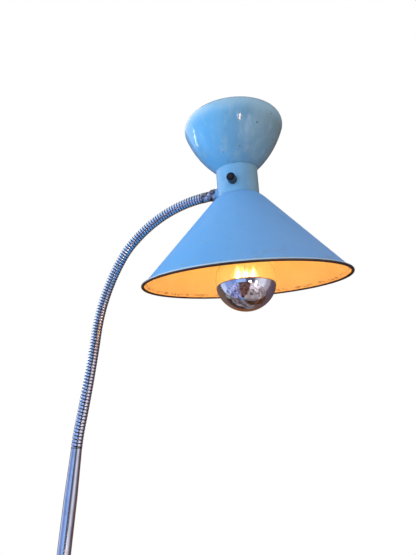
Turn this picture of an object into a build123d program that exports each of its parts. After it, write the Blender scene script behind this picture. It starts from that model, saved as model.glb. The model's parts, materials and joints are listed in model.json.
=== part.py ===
from build123d import *
import math
import os

os.makedirs("parts", exist_ok=True)

# A gooseneck reading floor lamp, in millimetres, +Z up.
# The origin is the centre of the base's underside. The gooseneck rises on the Z axis and arches over +X.

# ---------------------------------------------------------------- driving dimensions
running_gap = 0.3          # between faces that move past each other
hole_clearance = 0.1       # radial, round a threaded nipple or stud

# Base
base_radius = 128.0
base_edge_height = 14.0    # upright rim of the casting
base_dome_height = 11.0    # rise of the dome from the rim to the hub
base_dome_bulge = 2.2      # how far the dome swells above a straight cone
base_hub_radius = 24.0
base_edge_fillet = 5.0
base_recess_radius = 58.0
base_web = 9.0             # casting left above the recess, at the hub
pad_thickness = 2.0
pad_inset = 4.0
gland_height = 8.0         # centre of the cord entry above the floor
gland_bore = 3.2
gland_wall = 0.9
gland_length = 14.0
gland_flange_radius = 5.4
gland_flange = 1.8

# Threaded parts: every nipple, stud and nut has the same thin lamp thread
thread_radius = 5.0
thread_bore = 3.4
nut_across_flats = 14.0
nut_thickness = 3.0

# Pole
pole_radius = 8.0
pole_wall = 1.2
pole_top = 1079.2          # upper end of the tube
pole_taper = 55.0          # length over which the tube narrows to the gooseneck
pole_neck_radius = 6.75
foot_cup_radius = 19.0
foot_cup_height = 13.0
foot_cup_wall = 1.5
pole_insert_length = 42.0
washer_radius = 20.0
washer_thickness = 2.0
stud_above_insert = 8.0
joint_ring_thickness = 0.8
joint_ring_radius = 7.0
neck_plug_radius = 5.3
neck_plug_length = 28.0

# Gooseneck: tangent arcs from the pole upwards, each with its length and its turn in degrees
neck_arcs = ((27.0, 6.8), (122.0, -4.4), (120.0, 29.6), (21.0, 13.0), (131.5, 48.0))
neck_joints = 14
link_ribs = 7
rib_crest_radius = 6.9
rib_valley_radius = 6.2
wire_sides = 10
joint_gap = 1.9            # open length at each joint, which lets it turn 13 degrees
nose_length = 2.8
nose_radius = 4.9
nose_root_length = 1.1
nose_root_radius = 5.9
seat_mouth_radius = 6.35
seat_lead = 0.5            # the seat's cut starts this far outside its mouth
seat_floor_radius = 5.6
seat_depth = 4.3

# Fitting between the gooseneck and the head
ferrule_length = 14.0
ferrule_radius = 7.25
ferrule_lip = 0.5
head_nut_across_flats = 15.0
head_nut_length = 9.3
head_nut_chamfer = 0.9
nipple_inside_collar = 13.0
head_roll = 14.15          # turn of the head about the end of the gooseneck

# Collar, the housing between the two shades
collar_radius = 28.1
collar_wall = 1.5
collar_height = 37.5
neck_entry_height = 11.5   # axis of the gooseneck's end above the collar's lower edge
collar_ledge_width = 2.0
collar_ledge_height = 3.5
collar_web = 1.5
collar_web_depth = 4.0     # top edge of the collar down to its web
boss_radius = 8.4
boss_height = 3.3
boss_fillet = 1.2
bridge_width = 17.0
bridge_thickness = 2.0

# Push switch
switch_azimuth = -81.0     # about the head's axis, from the direction of the gooseneck's end
switch_above_neck = 3.1
switch_body_radius = 8.5
switch_body_depth = 15.0
switch_barrel_radius = 4.4
switch_sleeve_radius = 5.7
switch_sleeve_length = 11.2
switch_sleeve_step = 0.7
switch_sleeve_grip = 3.2
plunger_radius = 3.0
plunger_proud = 1.5
plunger_travel = 1.2
plunger_inside = 6.0
terminal_length = 5.0
terminal_width = 3.0
terminal_thickness = 0.8

# Lower shade, a spun cone
sheet = 1.2                # spun metal of both shades
cone_radius = 135.0
cone_height = 119.0
cone_slope = 0.88          # radius gained for each unit of height on the straight side
shoulder_height = 9.0
bead_radius = 1.9

# Upper shade, a spun bowl; heights are above the collar
bowl_seat_radius = 22.5
bowl_foot_radius = 26.1
bowl_belly_radius = 49.9
bowl_belly_height = 24.8
bowl_turn_radius = 66.7    # where the side turns in towards the lip
bowl_turn_height = 56.2
bowl_lip_radius = 54.3
bowl_height = 75.0
bowl_bead_radius = 1.3

# Globe bulb with a silvered crown, and its lampholder
globe_radius = 40.0
globe_drop = 126.3         # centre of the globe below the axis of the gooseneck's end
silver_below_centre = 10.0
silver_tilt = 10.0         # the edge of the silver isn't square to the bulb
silver_high_side = -69.0   # where it is highest, round the head from the gooseneck's direction
glass_wall = 0.9
bulb_length = 120.5
cap_radius = 13.3
cap_length = 23.0
cap_wall = 0.7
cap_chamfer = 0.6
cap_insulator = 2.6
cap_insulator_radius = 10.0
cap_insulator_taper = 30.0
cap_tip = 1.4
cap_tip_radius = 4.6
cap_tip_taper = 15.0
glass_turn_angle = 62.0    # above the globe's middle, where the glass turns from the globe to the neck
bulb_neck_radius = 12.3
stem_radius = 5.0
stem_tip_radius = 3.0
stem_length = 24.0
filament_count = 6
filament_ring_radius = 11.5
filament_radius = 0.8
filament_length = 34.0
support_radius = 0.5
holder_radius = 20.0
holder_wall = 1.8
holder_mouth_lap = 1.5     # how far the holder reaches past the cap
holder_seam_below_nut = 22.0
holder_hub_radius = 8.0
holder_hub_length = 6.0
insert_thickness = 6.0
wire_hole_radius = 1.7
contact_height = 2.0
contact_width = 4.0
contact_spread = 9.0
screw_shell_wall = 0.7

# Small opal bulb and lampholder in the bowl
small_globe_radius = 22.5
small_bulb_length = 78.0
small_cap_radius = 6.9
small_cap_length = 25.0
small_tip_radius = 3.1
small_glass_turn_angle = -50.0
small_holder_radius = 13.5
small_holder_wall = 1.6
small_holder_length = 34.0
small_insert_thickness = 5.0
small_wire_hole_radius = 1.4
small_contact_width = 3.0
small_contact_spread = 7.0


# ---------------------------------------------------------------- shared places
neck_length = sum(length for length, _ in neck_arcs)
link_length = neck_length / neck_joints
rib_pitch = link_length / link_ribs
neck_bottom = pole_top + joint_ring_thickness


def neck_plane(distance):
    """Plane across the gooseneck at a distance along it from the pole, its normal along the tube."""
    x, z, lean = 0.0, neck_bottom, 0.0
    for length, turn in neck_arcs:
        step = min(max(distance, 0.0), length)
        bend = math.radians(turn) * step / length
        chord = step * math.sin(bend / 2) / (bend / 2) if bend else step
        x += chord * math.sin(lean + bend / 2)
        z += chord * math.cos(lean + bend / 2)
        lean += bend
        distance -= step
    across = (math.cos(lean), 0, -math.sin(lean))
    along = (math.sin(lean), 0, math.cos(lean))
    return Plane(origin=(x, 0, z), x_dir=across, z_dir=along)


def section(plane):
    """Plane through a plane's normal, for profiles: local X is outwards and local Y is along the normal."""
    return Plane(origin=plane.origin, x_dir=plane.x_dir, z_dir=-plane.y_dir)


def spin(plane):
    """Axis of revolution along a plane's normal."""
    return Axis(plane.origin, plane.z_dir)


neck_end = neck_plane(neck_length)
head_offset = ferrule_length + head_nut_length + running_gap + boss_height + collar_radius
head_up = (neck_end.x_dir * -1).rotate(Axis((0, 0, 0), neck_end.z_dir), head_roll)
head = Plane(origin=neck_end.origin + neck_end.z_dir * head_offset, x_dir=neck_end.z_dir, z_dir=head_up)
head_section = section(head)
head_axis = spin(head)

base_bottom = pad_thickness
base_top = base_bottom + base_edge_height + base_dome_height
recess_top = base_top - base_web
collar_bottom = -neck_entry_height
collar_top = collar_height - neck_entry_height
collar_bore = collar_radius - collar_wall
web_top = collar_top - collar_web_depth
web_bottom = web_top - collar_web
cone_plate_bottom = collar_bottom - sheet
bridge_bottom = collar_bottom + collar_ledge_height
bridge_top = bridge_bottom + bridge_thickness
bowl_plate_top = web_top + sheet
shade_nut_bottom = cone_plate_bottom - nut_thickness
tip_top = bulb_length - globe_radius - globe_drop
cap_top = tip_top - cap_tip - cap_insulator
cap_bottom = cap_top - cap_length
holder_top = shade_nut_bottom
holder_seam = holder_top - holder_seam_below_nut
holder_bottom = cap_bottom - holder_mouth_lap
upper_nut_top = bowl_plate_top + nut_thickness
small_holder_top = upper_nut_top + small_holder_length
small_tip = upper_nut_top + holder_hub_length + small_insert_thickness + contact_height
switch_origin = head.origin + head.z_dir * switch_above_neck
switch_out = head.x_dir.rotate(Axis((0, 0, 0), head.z_dir), switch_azimuth)
switch = Plane(origin=switch_origin, x_dir=head.z_dir, z_dir=switch_out)
switch_front = math.sqrt(collar_bore**2 - switch_body_radius**2) - hole_clearance
sleeve_end = collar_radius + hole_clearance + switch_sleeve_length


def save(piece, name):
    piece.part.label = name
    export_step(piece.part, f"parts/{name}.step")


def threaded_tube(plane, bottom, top):
    """Hollow lamp nipple between two heights on a plane's normal."""
    with BuildPart() as nipple:
        with BuildSketch(plane.offset(bottom)):
            Circle(thread_radius)
            Circle(thread_bore, mode=Mode.SUBTRACT)
        extrude(amount=top - bottom)
    return nipple


def hexagon_nut(plane):
    """Thin lamp nut that sits on a plane."""
    with BuildPart() as nut:
        with BuildSketch(plane):
            RegularPolygon(nut_across_flats / 2, 6, major_radius=False)
            Circle(thread_radius + hole_clearance, mode=Mode.SUBTRACT)
        extrude(amount=nut_thickness)
    return nut


# ---------------------------------------------------------------- base
with BuildPart() as base_pad:
    with BuildSketch():
        Circle(base_radius - pad_inset)
    extrude(amount=pad_thickness)
save(base_pad, "base_pad")

with BuildPart() as base_casting:
    edge_top = base_bottom + base_edge_height
    with BuildSketch(Plane.XZ):
        with BuildLine():
            web = Line((thread_radius + hole_clearance, recess_top), (base_recess_radius, recess_top))
            wall = Line(web @ 1, (base_recess_radius, base_bottom))
            under = Line(wall @ 1, (base_radius, base_bottom))
            rim = Line(under @ 1, (base_radius, edge_top))
            dome = SagittaArc(rim @ 1, (base_hub_radius, base_top), base_dome_bulge)
            Polyline(dome @ 1, (thread_radius + hole_clearance, base_top), web @ 0)
        make_face()
    revolve(axis=Axis.Z)
    circles = base_casting.edges().filter_by(GeomType.CIRCLE).filter_by(lambda edge: edge.is_closed)
    fillet(circles.group_by(SortBy.RADIUS)[-1].sort_by(Axis.Z)[-1], base_edge_fillet)
    gland_plane = Plane(origin=(-base_radius, 0, gland_height), x_dir=(0, 1, 0), z_dir=(-1, 0, 0))
    with BuildSketch(gland_plane):
        Circle(gland_bore + gland_wall + hole_clearance)
    extrude(amount=-(base_radius - base_recess_radius + 1), mode=Mode.SUBTRACT)
save(base_casting, "base_casting")

with BuildPart() as cord_gland:
    with BuildSketch(gland_plane.offset(-gland_length)):
        Circle(gland_bore + gland_wall)
    extrude(amount=gland_length)
    with BuildSketch(gland_plane):
        Circle(gland_flange_radius)
    extrude(amount=gland_flange)
    chamfer(cord_gland.faces().sort_by(Axis.X)[0].edges(), gland_flange / 2)
    with BuildSketch(gland_plane.offset(-gland_length)):
        Circle(gland_bore)
    extrude(amount=gland_length + gland_flange, mode=Mode.SUBTRACT)
save(cord_gland, "cord_gland")

with BuildPart() as foot_cup:
    with BuildSketch(Plane.XZ):
        with BuildLine():
            Line((foot_cup_radius, base_top), (foot_cup_radius - foot_cup_wall, base_top))
            foot_cup_inner = pole_radius + hole_clearance
            Spline(
                (foot_cup_radius, base_top),
                (foot_cup_inner + foot_cup_wall, base_top + foot_cup_height),
                tangents=((-0.1, 1), (-0.4, 1)),
            )
            Line(
                (foot_cup_inner + foot_cup_wall, base_top + foot_cup_height),
                (foot_cup_inner, base_top + foot_cup_height),
            )
            Polyline(
                (foot_cup_inner, base_top + foot_cup_height),
                (foot_cup_inner, base_top + foot_cup_height / 2),
                (foot_cup_radius - foot_cup_wall, base_top),
            )
        make_face()
    revolve(axis=Axis.Z)
save(foot_cup, "foot_cup")

# ---------------------------------------------------------------- pole
with BuildPart() as pole_tube:
    taper_start = pole_top - pole_taper
    with BuildSketch(Plane.XZ):
        with BuildLine():
            outer = Polyline(
                (pole_radius, base_top),
                (pole_radius, taper_start),
                (pole_neck_radius, pole_top),
            )
            inner = Polyline(
                (pole_neck_radius - pole_wall, pole_top),
                (pole_radius - pole_wall, taper_start),
                (pole_radius - pole_wall, base_top),
            )
            Line(outer @ 1, inner @ 0)
            Line(inner @ 1, outer @ 0)
        make_face()
    revolve(axis=Axis.Z)
save(pole_tube, "pole_tube")

with BuildPart() as pole_insert:
    with BuildSketch(Plane.XY.offset(base_top)):
        Circle(pole_radius - pole_wall)
        Circle(thread_radius + hole_clearance, mode=Mode.SUBTRACT)
    extrude(amount=pole_insert_length)
save(pole_insert, "pole_insert")

stud_bottom = recess_top - washer_thickness - nut_thickness - hole_clearance
pole_stud = threaded_tube(Plane.XY, stud_bottom, base_top + pole_insert_length + stud_above_insert)
save(pole_stud, "pole_stud")

with BuildPart() as base_washer:
    with BuildSketch(Plane.XY.offset(recess_top - washer_thickness)):
        Circle(washer_radius)
        Circle(thread_radius + hole_clearance, mode=Mode.SUBTRACT)
    extrude(amount=washer_thickness)
save(base_washer, "base_washer")

nut_seat = Plane.XY.offset(recess_top - washer_thickness - nut_thickness)
base_nut = hexagon_nut(nut_seat)
save(base_nut, "base_nut")

with BuildPart() as joint_ring:
    with BuildSketch(Plane.XY.offset(pole_top)):
        Circle(joint_ring_radius)
        Circle(neck_plug_radius + hole_clearance, mode=Mode.SUBTRACT)
    extrude(amount=joint_ring_thickness)
save(joint_ring, "joint_ring")


# ---------------------------------------------------------------- gooseneck
def joint_distance(number):
    """Distance along the gooseneck of the ball between links number - 1 and number."""
    return (number - 0.5) * link_length


def ribbed_run(start, length, ribs, nose=True, seat=True):
    """Stretch of gooseneck along its curve: many-sided turns of wire, a nose at the upper end that turns in
    the next stretch's seat, and such a seat at the lower end."""
    pitch = length / ribs
    stations = []
    for number in range(ribs):
        stations += [(number * pitch, rib_valley_radius), ((number + 0.5) * pitch, rib_crest_radius)]
    stations += [(length, rib_valley_radius)]
    if seat:
        slope = (rib_crest_radius - rib_valley_radius) / (pitch / 2)
        stations[0] = (joint_gap, rib_valley_radius + slope * joint_gap)
    if nose:
        stations += [(length + nose_root_length, nose_root_radius), (length + nose_length, nose_radius)]
    with BuildPart() as run:
        for distance, radius in stations:
            with BuildSketch(neck_plane(start + distance)):
                RegularPolygon(radius, wire_sides)
        loft(ruled=True)
        if seat:
            seat_mouth = joint_gap - seat_lead
            for depth, radius in ((seat_mouth, seat_mouth_radius), (seat_depth, seat_floor_radius)):
                with BuildSketch(neck_plane(start).offset(depth)):
                    RegularPolygon(radius, wire_sides)
            loft(ruled=True, mode=Mode.SUBTRACT)
    return run


with BuildPart() as neck_plug:
    with BuildSketch(Plane.XY.offset(neck_bottom - neck_plug_length)):
        Circle(neck_plug_radius)
        Circle(thread_bore, mode=Mode.SUBTRACT)
    extrude(amount=neck_plug_length)
save(neck_plug, "neck_plug")

half_ribs = (link_ribs + 1) // 2
neck_root = ribbed_run(0, link_length / 2, half_ribs, seat=False)
save(neck_root, "neck_root")
for link_number in range(1, neck_joints):
    neck_link = ribbed_run(joint_distance(link_number), link_length, link_ribs)
    save(neck_link, f"neck_link_{link_number:02d}")
neck_tip = ribbed_run(joint_distance(neck_joints), link_length / 2, half_ribs, nose=False)
save(neck_tip, "neck_tip")

# ---------------------------------------------------------------- fitting between gooseneck and head
nut_plane = neck_end.offset(ferrule_length)
with BuildPart() as neck_ferrule:
    with BuildSketch(section(neck_end)):
        with BuildLine():
            Polyline(
                (thread_radius, 0),
                (ferrule_radius - ferrule_lip, 0),
                (ferrule_radius, ferrule_lip),
                (ferrule_radius, 2 * ferrule_lip),
                (ferrule_radius - ferrule_lip / 2, 3 * ferrule_lip),
                (ferrule_radius - ferrule_lip / 2, ferrule_length - 2 * ferrule_lip),
                (ferrule_radius, ferrule_length - ferrule_lip),
                (ferrule_radius, ferrule_length),
                (thread_radius, ferrule_length),
                close=True,
            )
        make_face()
    revolve(axis=spin(neck_end))
save(neck_ferrule, "neck_ferrule")

# A turned and chamfered blank, cut to a hexagon and bored
with BuildPart() as head_nut:
    with BuildSketch(nut_plane):
        Circle(head_nut_across_flats / math.sqrt(3))
    extrude(amount=head_nut_length)
    chamfer(head_nut.edges().filter_by(GeomType.CIRCLE), head_nut_chamfer)
    with BuildSketch(nut_plane):
        RegularPolygon(head_nut_across_flats / 2, 6, major_radius=False)
        Circle(thread_radius + hole_clearance, mode=Mode.SUBTRACT)
    extrude(amount=head_nut_length, mode=Mode.INTERSECT)
save(head_nut, "head_nut")

nipple_end = head_offset - collar_bore + nipple_inside_collar
neck_nipple = threaded_tube(neck_end, hole_clearance, nipple_end)
save(neck_nipple, "neck_nipple")

locknut_seat = head_offset - math.sqrt(collar_bore**2 - nut_across_flats**2 / 3) + hole_clearance
neck_locknut = hexagon_nut(neck_end.offset(locknut_seat))
save(neck_locknut, "neck_locknut")

# ---------------------------------------------------------------- collar
boss_plane = Plane(origin=head.origin, x_dir=head.z_dir, z_dir=-head.x_dir)
with BuildPart() as collar:
    with BuildSketch(head.offset(collar_bottom)):
        Circle(collar_radius)
    extrude(amount=collar_height)
    with BuildSketch(boss_plane.offset(collar_bore)):
        Circle(boss_radius)
    extrude(amount=collar_wall + boss_height)
    boss_rim = collar.faces().filter_by(GeomType.PLANE).sort_by(Axis.X)[0].edges()
    fillet(boss_rim, boss_fillet)
    with BuildSketch(head_section):
        with BuildLine():
            ledge_bore = collar_bore - collar_ledge_width
            Polyline(
                (0, collar_bottom),
                (ledge_bore, collar_bottom),
                (ledge_bore, bridge_bottom),
                (collar_bore, bridge_bottom),
                (collar_bore, web_bottom),
                (0, web_bottom),
                close=True,
            )
        make_face()
    revolve(axis=head_axis, mode=Mode.SUBTRACT)
    with BuildSketch(head.offset(web_top)):
        Circle(collar_bore)
    extrude(amount=collar_web_depth, mode=Mode.SUBTRACT)
    with BuildSketch(head.offset(web_bottom)):
        Circle(thread_radius + hole_clearance)
    extrude(amount=collar_web, mode=Mode.SUBTRACT)
    with BuildSketch(boss_plane):
        Circle(thread_radius + hole_clearance)
    extrude(amount=collar_radius + boss_height, mode=Mode.SUBTRACT)
    with BuildSketch(switch):
        Circle(switch_barrel_radius + hole_clearance)
    extrude(amount=collar_radius, mode=Mode.SUBTRACT)
save(collar, "collar")

with BuildPart() as collar_bridge:
    with BuildSketch(head.offset(bridge_bottom)):
        Rectangle(bridge_width, 2 * collar_bore)
        Circle(collar_bore - hole_clearance, mode=Mode.INTERSECT)
        Circle(thread_radius + hole_clearance, mode=Mode.SUBTRACT)
    extrude(amount=bridge_thickness)
save(collar_bridge, "collar_bridge")

# ---------------------------------------------------------------- push switch
with BuildPart() as switch_body:
    with BuildSketch(switch.offset(switch_front - switch_body_depth)):
        Circle(switch_body_radius)
    extrude(amount=switch_body_depth)
    with BuildSketch(switch.offset(switch_front)):
        Circle(switch_barrel_radius)
    extrude(amount=sleeve_end - switch_sleeve_step - switch_front)
    plunger_room = switch_front - plunger_inside - plunger_travel
    with BuildSketch(switch.offset(plunger_room)):
        Circle(plunger_radius + hole_clearance)
    extrude(amount=sleeve_end - plunger_room, mode=Mode.SUBTRACT)
save(switch_body, "switch_body")

with BuildPart() as switch_sleeve:
    sleeve_start = collar_radius + hole_clearance
    with BuildSketch(section(switch)):
        with BuildLine():
            Polyline(
                (switch_barrel_radius + hole_clearance, sleeve_start),
                (switch_sleeve_radius + switch_sleeve_step / 2, sleeve_start),
                (switch_sleeve_radius + switch_sleeve_step / 2, sleeve_start + switch_sleeve_grip),
                (switch_sleeve_radius, sleeve_start + switch_sleeve_grip),
                (switch_sleeve_radius, sleeve_end - switch_sleeve_step),
                (switch_sleeve_radius - switch_sleeve_step, sleeve_end),
                (switch_barrel_radius + hole_clearance, sleeve_end),
                close=True,
            )
        make_face()
    revolve(axis=spin(switch))
save(switch_sleeve, "switch_sleeve")

with BuildPart() as switch_plunger:
    with BuildSketch(switch.offset(switch_front - plunger_inside)):
        Circle(plunger_radius)
    extrude(amount=sleeve_end + plunger_proud - switch_front + plunger_inside)
    plunger_face = switch_plunger.faces().filter_by(GeomType.PLANE).sort_by(spin(switch))[-1]
    chamfer(plunger_face.edges(), switch_sleeve_step)
save(switch_plunger, "switch_plunger")

with BuildPart() as switch_terminals:
    with BuildSketch(switch.offset(switch_front - switch_body_depth)):
        with Locations((0, -switch_body_radius / 2), (0, switch_body_radius / 2)):
            Rectangle(terminal_width, terminal_thickness)
    extrude(amount=-terminal_length)
save(switch_terminals, "switch_terminals")

# ---------------------------------------------------------------- lower shade
with BuildPart() as shade_cone:
    with BuildSketch(head_section):
        with BuildLine():
            shoulder_radius = cone_radius - cone_slope * (cone_height - shoulder_height)
            rim_point = (cone_radius - bead_radius, collar_bottom - cone_height + bead_radius)
            shoulder_point = (shoulder_radius, collar_bottom - shoulder_height)
            side = Line(rim_point, shoulder_point)
            shoulder = TangentArc(side @ 1, (collar_radius, collar_bottom), tangent=side % 1)
            Line(shoulder @ 1, (thread_radius + hole_clearance, collar_bottom))
            offset(amount=sheet, side=Side.LEFT)
        make_face()
        with Locations((cone_radius - bead_radius, collar_bottom - cone_height + bead_radius)):
            RegularPolygon(bead_radius, 8)
    revolve(axis=head_axis)
save(shade_cone, "shade_cone")

# ---------------------------------------------------------------- upper shade
with BuildPart() as shade_bowl:
    with BuildSketch(head_section):
        with BuildLine():
            lip = (bowl_lip_radius, collar_top + bowl_height)
            foot = (bowl_foot_radius, collar_top)
            belly = (bowl_belly_radius, collar_top + bowl_belly_height)
            turn = (bowl_turn_radius, collar_top + bowl_turn_height)
            Polyline((thread_radius + hole_clearance, web_top), (bowl_seat_radius, web_top), foot)
            side = ThreePointArc(foot, belly, turn)
            TangentArc(turn, lip, tangent=side % 1)
            offset(amount=sheet, side=Side.LEFT)
        make_face()
        with Locations(lip):
            RegularPolygon(bowl_bead_radius, 6)
    revolve(axis=head_axis)
save(shade_bowl, "shade_bowl")

# ---------------------------------------------------------------- nipples that hold the shades
lower_nipple = threaded_tube(head, holder_top - holder_hub_length, bridge_top + 2 * nut_thickness)
save(lower_nipple, "lower_nipple")
upper_nipple = threaded_tube(head, web_bottom - 2 * nut_thickness, upper_nut_top + holder_hub_length)
save(upper_nipple, "upper_nipple")

nut_seats = (shade_nut_bottom, bridge_top, web_bottom - nut_thickness, bowl_plate_top)
with BuildPart() as shade_nuts:
    for seat_height in nut_seats:
        add(hexagon_nut(head.offset(seat_height)).part)
save(shade_nuts, "shade_nuts")

# ---------------------------------------------------------------- lower lampholder
with BuildPart() as holder_cap:
    with BuildSketch(head_section):
        with BuildLine():
            hub = Polyline(
                (thread_radius + hole_clearance, holder_top),
                (holder_hub_radius, holder_top),
                (holder_hub_radius, holder_top - holder_hub_length / 2),
            )
            TangentArc(hub @ 1, (holder_radius, holder_seam), tangent=(1, 0))
            Polyline(
                (holder_radius, holder_seam),
                (holder_radius - holder_wall, holder_seam),
                (holder_radius - holder_wall, holder_seam + holder_wall),
                (holder_hub_radius, holder_top - holder_hub_length),
                (thread_radius + hole_clearance, holder_top - holder_hub_length),
                (thread_radius + hole_clearance, holder_top),
            )
        make_face()
    revolve(axis=head_axis)
save(holder_cap, "holder_cap")

insert_bottom = tip_top + contact_height
insert_top = insert_bottom + insert_thickness
with BuildPart() as holder_shell:
    with BuildSketch(head_section):
        with BuildLine():
            Polyline(
                (holder_radius - holder_wall, holder_seam),
                (holder_radius, holder_seam),
                (holder_radius, holder_bottom + 2 * holder_wall),
                (holder_radius - holder_wall, holder_bottom),
                (holder_radius - 2 * holder_wall, holder_bottom),
                (holder_radius - 2 * holder_wall, holder_bottom + holder_wall),
                (holder_radius - holder_wall, holder_bottom + 2 * holder_wall),
                close=True,
            )
        make_face()
    revolve(axis=head_axis)
save(holder_shell, "holder_shell")

with BuildPart() as holder_insert:
    with BuildSketch(head.offset(insert_bottom)):
        Circle(holder_radius - holder_wall - hole_clearance)
        with Locations((0, holder_radius / 2), (0, -holder_radius / 2)):
            Circle(wire_hole_radius, mode=Mode.SUBTRACT)
    extrude(amount=insert_thickness)
save(holder_insert, "holder_insert")

with BuildPart() as screw_shell:
    with BuildSketch(head.offset(cap_bottom + holder_wall)):
        Circle(cap_radius + hole_clearance + screw_shell_wall)
        Circle(cap_radius + hole_clearance, mode=Mode.SUBTRACT)
    extrude(amount=insert_bottom - cap_bottom - holder_wall)
save(screw_shell, "screw_shell")

with BuildPart() as centre_contact:
    with BuildSketch(head.offset(tip_top)):
        Rectangle(contact_width, contact_spread)
    extrude(amount=contact_height)
save(centre_contact, "centre_contact")

# ---------------------------------------------------------------- globe bulb
globe = head.offset(-globe_drop)
silver_hinge = head.x_dir.rotate(Axis((0, 0, 0), head.z_dir), silver_high_side + 90)
silver_up = head.z_dir.rotate(Axis((0, 0, 0), silver_hinge), -silver_tilt)
silver_edge = Plane(origin=globe.origin, x_dir=silver_hinge, z_dir=silver_up).offset(-silver_below_centre)


def globe_arc(radius):
    """Three points on the globe's section, from its bottom to where the glass turns to the neck."""
    angles = [math.radians(angle) for angle in (-90, 0, glass_turn_angle)]
    return [(radius * math.cos(angle), radius * math.sin(angle)) for angle in angles]


with BuildPart() as bulb_crown:
    with BuildSketch(section(globe)):
        with BuildLine():
            outside = ThreePointArc(*globe_arc(globe_radius))
            inside = ThreePointArc(*globe_arc(globe_radius - glass_wall))
            Line(outside @ 0, inside @ 0)
            Line(outside @ 1, inside @ 1)
        make_face()
    revolve(axis=spin(globe))
    split(bisect_by=silver_edge, keep=Keep.BOTTOM)
save(bulb_crown, "bulb_crown")

with BuildPart() as bulb_glass:
    with BuildSketch(section(globe)):
        glass_top = cap_bottom + holder_wall + globe_drop
        with BuildLine():
            outside = ThreePointArc(*globe_arc(globe_radius))
            outer_neck = Spline(
                outside @ 1,
                (bulb_neck_radius, glass_top),
                tangents=(outside % 1, (0, 1)),
            )
            inside = ThreePointArc(*globe_arc(globe_radius - glass_wall))
            inner_neck = Spline(
                inside @ 1,
                (bulb_neck_radius - glass_wall, glass_top),
                tangents=(inside % 1, (0, 1)),
            )
            Line(outside @ 0, inside @ 0)
            Line(outer_neck @ 1, inner_neck @ 1)
        make_face()
    revolve(axis=spin(globe))
    split(bisect_by=silver_edge, keep=Keep.TOP)
save(bulb_glass, "bulb_glass")

with BuildPart() as bulb_cap:
    with BuildSketch(head.offset(cap_bottom)):
        Circle(cap_radius)
        Circle(cap_radius - cap_wall, mode=Mode.SUBTRACT)
    extrude(amount=cap_length - cap_wall)
    with BuildSketch(head.offset(cap_top - cap_wall)):
        Circle(cap_radius)
    extrude(amount=cap_wall)
    chamfer(bulb_cap.faces().sort_by(head_axis)[-1].edges(), cap_chamfer)
save(bulb_cap, "bulb_cap")

with BuildPart() as bulb_insulator:
    with BuildSketch(head.offset(cap_top)):
        Circle(cap_insulator_radius)
    extrude(amount=cap_insulator, taper=cap_insulator_taper)
save(bulb_insulator, "bulb_insulator")

with BuildPart() as bulb_contact:
    with BuildSketch(head.offset(cap_top + cap_insulator)):
        Circle(cap_tip_radius)
    extrude(amount=cap_tip, taper=cap_tip_taper)
save(bulb_contact, "bulb_contact")

stem_top = cap_bottom + cap_wall
with BuildPart() as bulb_stem:
    with BuildSketch(head_section):
        with BuildLine():
            Polyline(
                (0, stem_top),
                (bulb_neck_radius - glass_wall, stem_top),
                (bulb_neck_radius - glass_wall, stem_top - glass_wall),
                (stem_radius, stem_top - stem_length / 3),
                (stem_tip_radius, stem_top - stem_length),
                (0, stem_top - stem_length),
                close=True,
            )
        make_face()
    revolve(axis=head_axis)
save(bulb_stem, "bulb_stem")

# Upright filaments stand in a ring round a wire that carries a small cross at each end
stem_bottom = stem_top - stem_length
filament_top = stem_bottom - 2 * support_radius
filament_bottom = filament_top - filament_length
with BuildPart() as bulb_filaments:
    with BuildSketch(head.offset(filament_bottom)):
        with PolarLocations(filament_ring_radius, filament_count):
            RegularPolygon(filament_radius, 6)
    extrude(amount=filament_length)
save(bulb_filaments, "bulb_filaments")

with BuildPart() as filament_support:
    with BuildSketch(head.offset(filament_bottom)):
        Circle(support_radius)
    extrude(amount=filament_length + 2 * support_radius)
    for cross_height in (filament_bottom - 2 * support_radius, filament_top):
        with BuildSketch(head.offset(cross_height)):
            Circle(2 * support_radius)
            with PolarLocations(filament_ring_radius / 2, filament_count):
                Rectangle(filament_ring_radius, 2 * support_radius)
        extrude(amount=2 * support_radius)
save(filament_support, "filament_support")

# ---------------------------------------------------------------- upper lampholder and small bulb
small_insert_top = upper_nut_top + holder_hub_length + small_insert_thickness
with BuildPart() as small_holder:
    with BuildSketch(head_section):
        with BuildLine():
            small_bore = small_holder_radius - small_holder_wall
            Polyline(
                (thread_radius + hole_clearance, upper_nut_top),
                (small_holder_radius - holder_hub_length / 2, upper_nut_top),
                (small_holder_radius, upper_nut_top + holder_hub_length / 2),
                (small_holder_radius, small_holder_top),
                (small_bore, small_holder_top),
                (small_bore, upper_nut_top + holder_hub_length),
                (thread_radius + hole_clearance, upper_nut_top + holder_hub_length),
                close=True,
            )
        make_face()
    revolve(axis=head_axis)
save(small_holder, "small_holder")

with BuildPart() as small_insert:
    with BuildSketch(head.offset(small_insert_top - small_insert_thickness)):
        Circle(small_bore - hole_clearance)
        with Locations((0, small_bore / 2), (0, -small_bore / 2)):
            Circle(small_wire_hole_radius, mode=Mode.SUBTRACT)
    extrude(amount=small_insert_thickness)
    with BuildSketch(head.offset(small_insert_top)):
        Rectangle(small_contact_width, small_contact_spread)
    extrude(amount=contact_height)
save(small_insert, "small_insert")

small_cap_top = small_tip + small_cap_length
with BuildPart() as small_bulb_cap:
    with BuildSketch(head.offset(small_tip)):
        Circle(small_tip_radius)
    extrude(amount=cap_tip)
    with BuildSketch(head.offset(small_tip + cap_tip)):
        Circle(small_cap_radius)
    extrude(amount=small_cap_length - cap_tip)
    cap_rims = small_bulb_cap.edges().filter_by(GeomType.CIRCLE).group_by(SortBy.RADIUS)[-1]
    chamfer(cap_rims.sort_by(head_axis)[0], cap_tip)
save(small_bulb_cap, "small_bulb_cap")

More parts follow.
